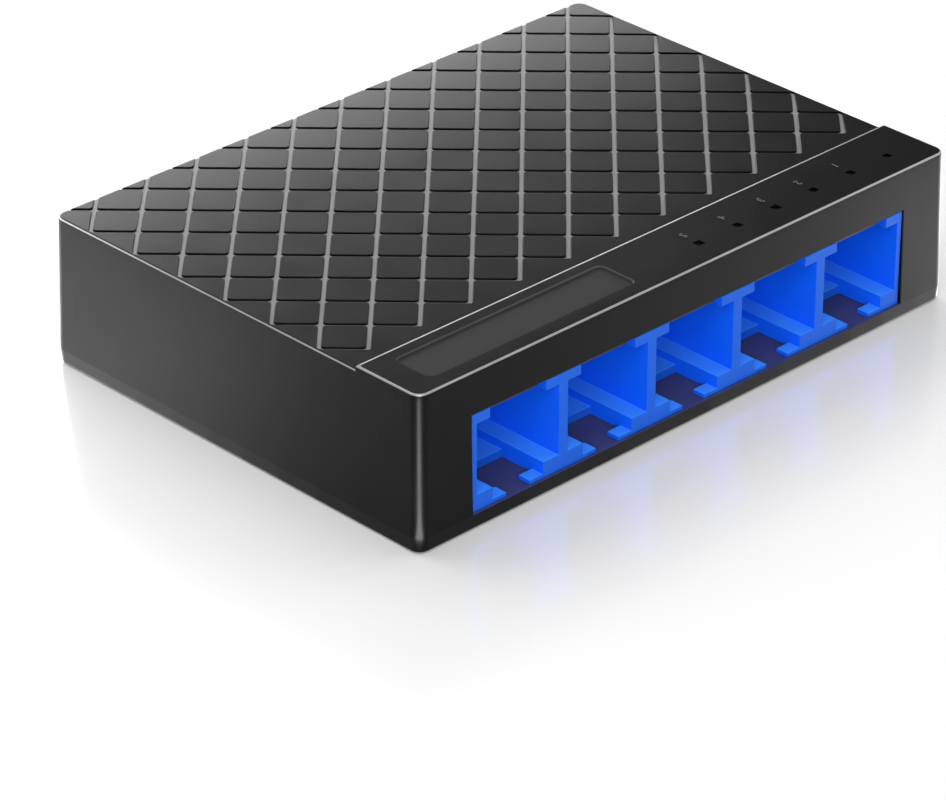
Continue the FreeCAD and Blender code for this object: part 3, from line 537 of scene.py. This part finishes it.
def indicator_digits():
    """Raised numbers beside the port indicators, upright for someone behind the switch."""
    bm = bmesh.new()
    for x, digit in zip(INDICATOR_X, DIGITS):
        text = bpy.data.curves.new("digit", "FONT")
        text.body = digit
        text.size = DIGIT_SIZE
        text.extrude = DIGIT_THICKNESS / 2
        text.align_x = text.align_y = "CENTER"
        holder = link("digit", text)
        mesh = bpy.data.meshes.new_from_object(holder)
        place = Matrix.Translation((x, INDICATOR_Y + DIGIT_OFFSET, STRIP_Z + DIGIT_LIFT))
        mesh.transform(place @ Matrix.Rotation(math.pi, 4, "Z"))
        bm.from_mesh(mesh)
        bpy.data.objects.remove(holder)
        bpy.data.meshes.remove(mesh)
    digits = from_bmesh("indicator_digits", bm, MATERIALS["digit_grey"])
    finish_piece(digits, "case_black")


# --- CAD nodes -----------------------------------------------------------------------------------
def refined(node, width, angle=30):
    """A copy of a CAD node with broken edges, which stands for it."""
    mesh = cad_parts[node].data.copy()
    mesh.transform(Matrix.Scale(1 / MM, 4))
    bm = bmesh.new()
    bm.from_mesh(mesh)
    bmesh.ops.remove_doubles(bm, verts=bm.verts, dist=1e-3)
    bmesh.ops.dissolve_limit(bm, angle_limit=math.radians(1), verts=bm.verts, edges=bm.edges)
    bm.to_mesh(mesh)
    bm.free()
    mesh.name = node + "_finished"
    piece = link(node + "_finished", mesh)
    finish_piece(piece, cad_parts[node].data.materials[0].name, node)
    bevel = piece.modifiers.new("edges", "BEVEL")
    bevel.width = width * MM
    bevel.segments = 2
    bevel.limit_method = "ANGLE"
    bevel.angle_limit = math.radians(angle)
    bevel.harden_normals = False
    smooth(piece)
    return piece


def dress(obj):
    """Gives a piece its finished materials, by the names of the record's slots."""
    for index, old in enumerate(obj.data.materials):
        obj.data.materials[index] = MATERIALS[old.name.split(".")[0]]


def paint_by_facing(piece, shading_material, direction):
    """Gives the faces that look in one direction a material of their own, lighter or darker than
    the rest. This is painted light or shade by facing.
    """
    piece.data.materials.append(MATERIALS[shading_material])
    for face in piece.data.polygons:
        if face.normal.dot(direction) > 0.9:
            face.material_index = len(piece.data.materials) - 1


# --- studio --------------------------------------------------------------------------------------
# Panels around the case: (name, place, aim, size, radiance). Places and sizes are in mm.
SOFT_PANELS = (
    ("overhead", (0, 0, 1100), (0, 0, 0), (1500, 1500), 0.8),
    ("fill_high", (-490, -440, 615), (0, 0, 0), (500, 400), 4.6),
    ("fill_middle", (-408, -706, 380), (0, 0, 0), (400, 350), 5.6),
    ("fill_low", (-622, -622, 187), (0, 0, 0), (400, 250), 5.6),
    ("side_right", (350, -150, 200), (0, -20, 10), (400, 350), 1.2),
    ("top_back", (0, 500, 650), (0, 0, 0), (900, 500), 1.3),
)
# Low panels standing behind the case shade the roof from bright at the rear to dark at the front:
# (name, place, size, radiance).
REAR_PANELS = (
    ("rear_near", (8, 60, 30), (186, 20), 5.0),
    ("rear_wide", (35, 62, 30), (220, 20), 1.5),
    ("rear_far", (60, 95, 35), (150, 50), 0.6),
)
# Strips on the floor, running out from under a wall, shade the left wall from the rear and the
# front wall from the right: (middle along the wall, width along the wall, radiance).
LEFT_STRIPS = ((55, 14, 3.2), (41, 14, 3.2), (31, 6, 3.0), (25, 6, 2.7), (19, 6, 2.4), (13, 6, 2.1),
               (7, 6, 1.8), (1, 6, 1.35), (-5, 6, 0.9), (-11, 6, 0.5), (-17, 6, 0.25),
               (-23, 6, 0.08))
FRONT_STRIPS = ((-20, 15, 0.2), (-5, 15, 0.45), (8.5, 12, 0.8), (20.5, 12, 1.1), (29.5, 6, 1.6),
                (35.5, 6, 2.3), (41.5, 6, 2.9), (51.5, 14, 3.3), (65.5, 14, 3.3))
# Strips that run out from the corner between those walls: (start, length, width).
CORNER_STRIPS = ((2, 12, 5), (14, 12, 10), (26, 16, 16))
CORNER_PLACE, CORNER_HEADING, CORNER_RADIANCE = (-42.6, -30.3), 225, 25.0
# how far the strips run, how far inside the wall they start, and how far back along it
STRIP_RUN, STRIP_UNDER, STRIP_BACK = 44, 3, 2.8
# their headings in degrees, and the part of a width along the wall that is left across the strip
LEFT_HEADING, LEFT_SLANT = 137, 0.73
FRONT_HEADING, FRONT_SLANT = -46, 0.72


def panel(name, place, aim, size, radiance):
    """A soft light panel of even brightness, which the camera itself doesn't see."""
    lamp = bpy.data.lights.new(name, "AREA")
    lamp.shape = "RECTANGLE"
    lamp.size, lamp.size_y = (s * MM for s in size)
    lamp.energy = radiance * math.pi * lamp.size * lamp.size_y
    holder = link(name, lamp)
    holder.location = Vector(place) * MM
    direction = Vector(aim) - Vector(place)
    holder.rotation_euler = direction.to_track_quat("-Z", "Y").to_euler()
    holder.visible_camera = False
    return holder


def lying_strip(name, start, heading, length, width, radiance):
    """A panel lying on the floor, facing up, for the walls to mirror. It runs out from start."""
    turn = math.radians(heading)
    x, y = start[0] + length / 2 * math.cos(turn), start[1] + length / 2 * math.sin(turn)
    holder = panel(name, (x, y, 0.15), (x, y, 100), (length, width), radiance)
    holder.rotation_euler.z += turn
    holder.visible_diffuse = False


def floor():
    """A plain pale floor with a soft shine."""
    bm = bmesh.new()
    half = 6000
    bm.faces.new(ring(bm, rectangle(-half, half, -half, half), 0))
    made, _, _, shader = material("floor")
    shader.inputs["Base Color"].default_value = (0.82, 0.82, 0.82, 1)
    shader.inputs["Roughness"].default_value = 0.16
    shader.inputs["Specular IOR Level"].default_value = 1.0
    shader.inputs["IOR"].default_value = 1.8
    plane = from_bmesh("floor", bm, made)
    plane.data.transform(Matrix.Scale(MM, 4))


def studio():
    world = bpy.data.worlds.new("studio")
    world.use_nodes = True
    background = world.node_tree.nodes["Background"]
    background.inputs["Color"].default_value = (1, 1, 1, 1)
    background.inputs["Strength"].default_value = 0.24
    bpy.context.scene.world = world
    floor()
    for row in SOFT_PANELS:
        panel(*row)
    panel("floor_fill", (110, 330, 260), (110, 330, 0), (900, 400), 1.5).visible_glossy = False
    for name, (x, y, z), size, radiance in REAR_PANELS:
        panel(name, (x, y, z), (x, 0, z), size, radiance).visible_diffuse = False
    for y, width, radiance in LEFT_STRIPS:
        lying_strip("left_floor", (-HALF_X + STRIP_UNDER, y - STRIP_BACK), LEFT_HEADING, STRIP_RUN,
                    LEFT_SLANT * width, radiance)
    for x, width, radiance in FRONT_STRIPS:
        lying_strip("front_floor", (x - STRIP_BACK, FRONT + STRIP_UNDER), FRONT_HEADING, STRIP_RUN,
                    FRONT_SLANT * width, radiance)
    lying_strip("right_floor", (HALF_X, -23.5), 0, 40, 14, 6.8)
    for start, length, width in CORNER_STRIPS:
        place = [c - start / math.sqrt(2) for c in CORNER_PLACE]
        lying_strip("corner_floor", place, CORNER_HEADING, length, width, CORNER_RADIANCE)


# The camera: where it aims (mm), how far off it stands (mm), its angles (degrees) and its lens (mm)
AIM, DISTANCE = (-10.36, -5.28, -3.43), 533.83
AZIMUTH, ELEVATION, ROLL = -44.085, 29.329, 0.049
LENS, SENSOR = 174.92, 36


def camera():
    lens = bpy.data.cameras.new("camera")
    lens.sensor_width = SENSOR
    lens.lens = LENS
    lens.clip_start = 0.01
    holder = link("camera", lens)
    azimuth, elevation = math.radians(AZIMUTH), math.radians(ELEVATION)
    back = Vector((math.sin(azimuth) * math.cos(elevation),
                   -math.cos(azimuth) * math.cos(elevation), math.sin(elevation)))
    holder.location = Vector(AIM) * MM + back * DISTANCE * MM
    level = (-back).to_track_quat("-Z", "Y").to_matrix()
    roll = Matrix.Rotation(math.radians(ROLL), 3, "Z")
    holder.rotation_euler = (level @ roll).to_euler()
    bpy.context.scene.camera = holder


top_cover()
indicator_digits()
UP, OUT = Vector((0, 0, 1)), Vector((0, -1, 0))
# (node, bevel in mm, the materials of the faces that look in one direction, which paint light or
# shade on them)
for name, width, facing_shading in (("port_housing", 0.08, (("port_front_painted_shade", OUT), ("port_ledge_painted_light", UP))),
                              ("bottom_cover", 0.06, (("case_inside_painted_bounce", UP),)),
                              ("power_socket_housing", 0.1, ())):
    piece = refined(name, width)
    dress(piece)
    for shading_material, direction in facing_shading:
        paint_by_facing(piece, shading_material, direction)
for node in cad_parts.values():
    dress(node)
studio()
camera()
bpy.context.scene.view_settings.view_transform = "Standard"
